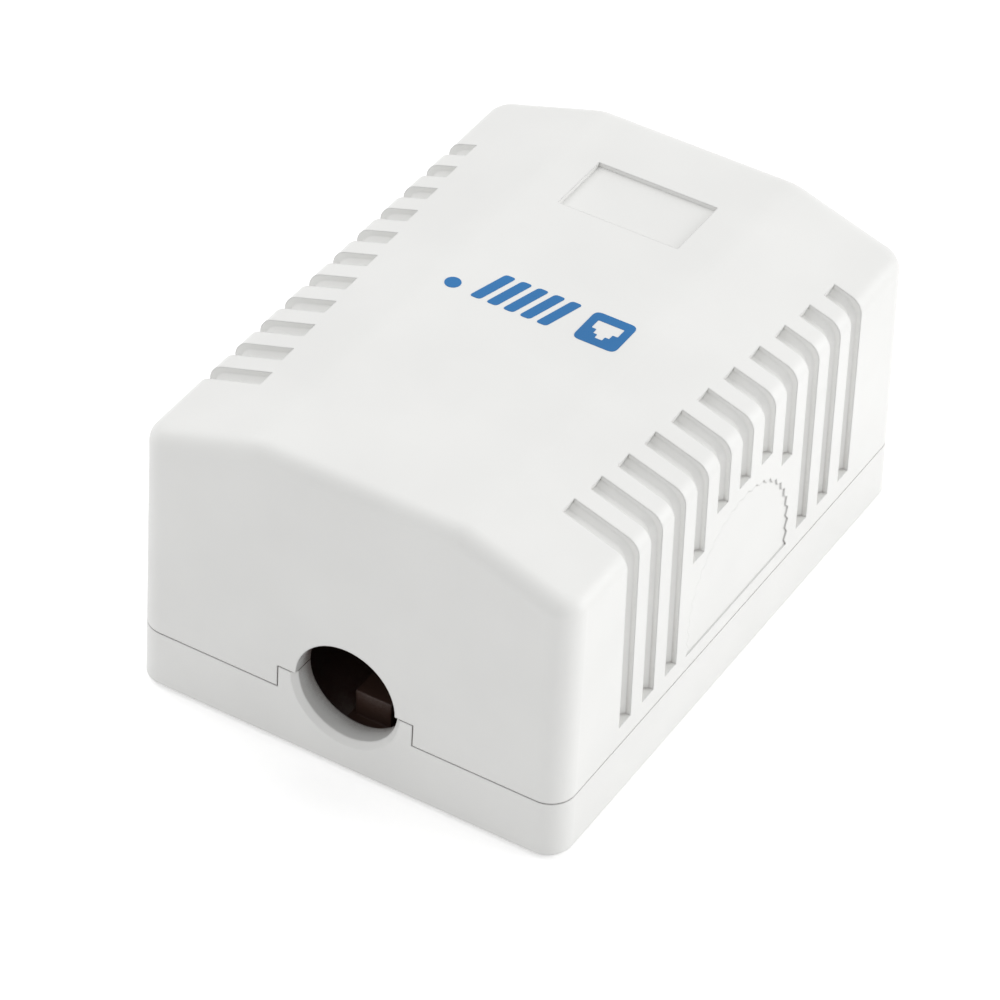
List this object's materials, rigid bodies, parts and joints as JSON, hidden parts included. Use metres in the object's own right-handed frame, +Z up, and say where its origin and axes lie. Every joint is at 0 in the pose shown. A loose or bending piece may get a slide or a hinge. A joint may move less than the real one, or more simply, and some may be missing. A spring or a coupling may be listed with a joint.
{
  "type": "surface mount jack box",
  "caption": "Small two-part moulded wall box with a modular data jack in its front, a round cable hole in its rear and a lift-off grooved cover.",
  "frame": {"origin": "centre of the underside", "axes": "+Z up from the underside, -Y towards the jack's port, +Y towards the cable hole, +X to the right when looking into the port"},
  "size_m": [0.043, 0.06, 0.031],
  "materials": {
    "white_shell": "glossy moulded",
    "board_laminate": "satin solder mask",
    "screw_steel": "zinc plated",
    "jack_black": "satin moulded",
    "carrier_plastic": "satin moulded",
    "contact_gold": "gold flashed",
    "block_plastic": "satin moulded",
    "blade_tin": "tin plated"
  },
  "bodies": {
    "base": {"base": "white_shell", "circuit_board": "board_laminate", "board_screws": "screw_steel", "jack_housing": "jack_black", "contact_carrier": "carrier_plastic", "jack_contact_1": "contact_gold", "jack_contact_2": "contact_gold", "jack_contact_3": "contact_gold", "jack_contact_4": "contact_gold", "jack_contact_5": "contact_gold", "jack_contact_6": "contact_gold", "jack_contact_7": "contact_gold", "jack_contact_8": "contact_gold", "terminal_block_left": "block_plastic", "terminal_block_right": "block_plastic", "terminal_contact_1": "blade_tin", "terminal_contact_2": "blade_tin", "terminal_contact_3": "blade_tin", "terminal_contact_4": "blade_tin", "terminal_contact_5": "blade_tin", "terminal_contact_6": "blade_tin", "terminal_contact_7": "blade_tin", "terminal_contact_8": "blade_tin"},
    "cover": {"cover": "white_shell"}
  },
  "joints": [
    {"name": "cover_lift", "type": "slide", "parent": "base", "child": "cover", "axis": [0, 0, 1], "range_m": [0, 0.04]}
  ]
}
